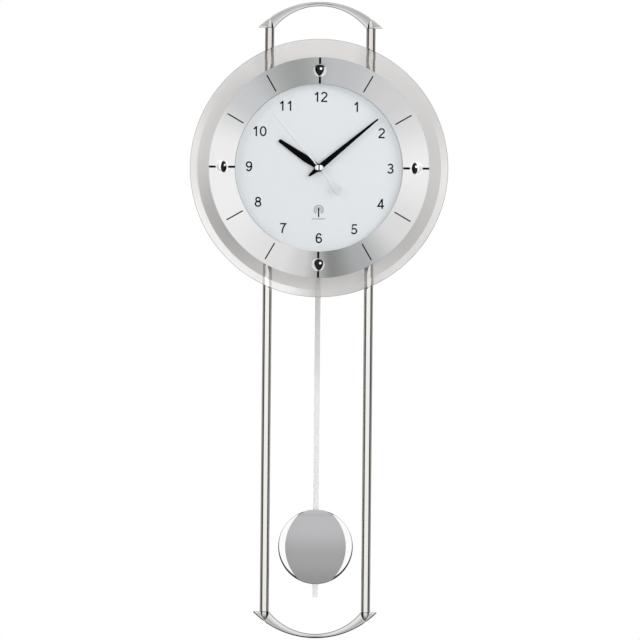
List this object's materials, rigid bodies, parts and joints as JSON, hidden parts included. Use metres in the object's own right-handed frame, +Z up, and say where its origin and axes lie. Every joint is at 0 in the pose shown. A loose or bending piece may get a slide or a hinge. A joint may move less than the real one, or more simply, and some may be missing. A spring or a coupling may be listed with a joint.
{
  "type": "radio-controlled pendulum wall clock",
  "caption": "Slim pendulum wall clock: a bevelled glass disc on two metal tubes joined by bows, with a brushed ring of numerals, a quartz movement and a glass bob.",
  "frame": {"origin": "on the wall plane, at the nail under the top of the hanger's keyhole", "axes": "+Z up the wall, along the tubes; +Y into the wall, so the dial faces -Y; +X to the right seen from the front"},
  "size_m": [0.284, 0.0784, 0.7004],
  "materials": {
    "housing_plastic": "moulded, fine satin grain",
    "zinc_steel": "zinc plated",
    "satin_nickel": "satin nickel plated",
    "disc_glass": "clear, bevelled, faint warm grey tint",
    "pendulum_glass": "clear, polished edge",
    "ring_aluminium": "brushed round the axis",
    "chrome": "polished",
    "dial_lacquer": "matt, faint cool white",
    "spacer_plastic": "moulded",
    "brass": "turned",
    "wheel_plastic": "moulded acetal",
    "magnet_alloy": "sintered magnet",
    "coil_wire": "enamelled copper winding",
    "movement_plastic": "moulded",
    "board": "solder resist",
    "ferrite": "fired ferrite",
    "battery_sleeve": "plain printed sleeve, bare of marks",
    "hand_lacquer": "black satin lacquer",
    "silver_lacquer": "satin",
    "button_plastic": "moulded",
    "leader_plastic": "moulded acetal",
    "plate_nickel": "satin, fine vertical grain"
  },
  "bodies": {
    "clock": {"rear_housing": "housing_plastic", "hanger_plate": "zinc_steel", "hanger_screw_left": "zinc_steel", "hanger_screw_right": "zinc_steel", "left_tube": "satin_nickel", "right_tube": "satin_nickel", "top_bow": "satin_nickel", "bottom_bow": "satin_nickel", "glass_disc": "disc_glass", "dial_ring": "ring_aluminium", "standoff_12": "chrome", "dome_nut_12": "chrome", "clamp_screw_12": "zinc_steel", "standoff_3": "chrome", "dome_nut_3": "chrome", "clamp_screw_3": "zinc_steel", "standoff_6": "chrome", "dome_nut_6": "chrome", "clamp_screw_6": "zinc_steel", "standoff_9": "chrome", "dome_nut_9": "chrome", "clamp_screw_9": "zinc_steel", "dial_spacer": "spacer_plastic", "dial_plate": "dial_lacquer", "fixing_washer": "zinc_steel", "fixing_nut": "brass", "stator": "zinc_steel", "motor_coil": "coil_wire", "train_bridge": "movement_plastic", "pendulum_coil": "coil_wire", "circuit_board": "board", "ferrite_antenna": "ferrite", "antenna_coil": "coil_wire", "battery": "battery_sleeve", "battery_contact_plus": "zinc_steel", "battery_contact_minus": "zinc_steel", "movement_case": "movement_plastic", "movement_cover": "movement_plastic", "pivot_pin": "zinc_steel"},
    "second_works": {"seconds_wheel": "wheel_plastic", "second_hand": "silver_lacquer", "hand_cap": "chrome"},
    "minute_works": {"centre_wheel": "wheel_plastic", "minute_hand": "hand_lacquer"},
    "hour_works": {"hour_wheel": "wheel_plastic", "hour_hand": "hand_lacquer"},
    "third_works": {"third_wheel": "wheel_plastic"},
    "motion_works": {"minute_wheel": "wheel_plastic"},
    "intermediate_works": {"intermediate_wheel": "wheel_plastic"},
    "rotor_works": {"rotor": "magnet_alloy"},
    "pendulum": {"pendulum_leader": "leader_plastic", "drive_magnet": "magnet_alloy", "pendulum_rod": "pendulum_glass", "bob_disc": "pendulum_glass", "bob_plate": "plate_nickel", "bob_clip": "zinc_steel"},
    "set_key": {"set_button": "button_plastic"},
    "receive_key": {"receive_button": "button_plastic"},
    "reset_key": {"reset_button": "button_plastic"}
  },
  "joints": [
    {"name": "second_spin", "type": "hinge", "parent": "clock", "child": "second_works", "pos_m": [0, 0, -0.088], "axis": [0, 1, 0], "continuous": true},
    {"name": "minute_spin", "type": "hinge", "parent": "clock", "child": "minute_works", "pos_m": [0, 0, -0.088], "axis": [0, 1, 0], "continuous": true},
    {"name": "hour_spin", "type": "hinge", "parent": "clock", "child": "hour_works", "pos_m": [0, 0, -0.088], "axis": [0, 1, 0], "continuous": true},
    {"name": "third_spin", "type": "hinge", "parent": "clock", "child": "third_works", "pos_m": [-0.0076, 0, -0.09238], "axis": [0, 1, 0], "continuous": true},
    {"name": "minute_wheel_spin", "type": "hinge", "parent": "clock", "child": "motion_works", "pos_m": [0, 0, -0.07894], "axis": [0, 1, 0], "continuous": true},
    {"name": "intermediate_spin", "type": "hinge", "parent": "clock", "child": "intermediate_works", "pos_m": [0.00791, 0, -0.09256], "axis": [0, 1, 0], "continuous": true},
    {"name": "rotor_spin", "type": "hinge", "parent": "clock", "child": "rotor_works", "pos_m": [0.01267, 0, -0.09531], "axis": [0, 1, 0], "continuous": true},
    {"name": "pendulum_swing", "type": "hinge", "parent": "clock", "child": "pendulum", "pos_m": [0, 0, -0.076], "axis": [0, 1, 0], "range_deg": [-5, 5]},
    {"name": "set_press", "type": "slide", "parent": "clock", "child": "set_key", "axis": [0, -1, 0], "range_m": [0, 0.0007], "stiffness_N_per_m": 400, "springref_m": -0.0005},
    {"name": "receive_press", "type": "slide", "parent": "clock", "child": "receive_key", "axis": [0, -1, 0], "range_m": [0, 0.0007], "stiffness_N_per_m": 400, "springref_m": -0.0005},
    {"name": "reset_press", "type": "slide", "parent": "clock", "child": "reset_key", "axis": [0, -1, 0], "range_m": [0, 0.0007], "stiffness_N_per_m": 400, "springref_m": -0.0005}
  ],
  "couplings": [
    {"joint": "minute_spin", "follows": "second_spin", "ratio": 0.016667},
    {"joint": "hour_spin", "follows": "second_spin", "ratio": 0.0013889},
    {"joint": "third_spin", "follows": "second_spin", "ratio": -0.13333},
    {"joint": "minute_wheel_spin", "follows": "second_spin", "ratio": -0.0055556},
    {"joint": "intermediate_spin", "follows": "second_spin", "ratio": -6},
    {"joint": "rotor_spin", "follows": "second_spin", "ratio": 30}
  ]
}
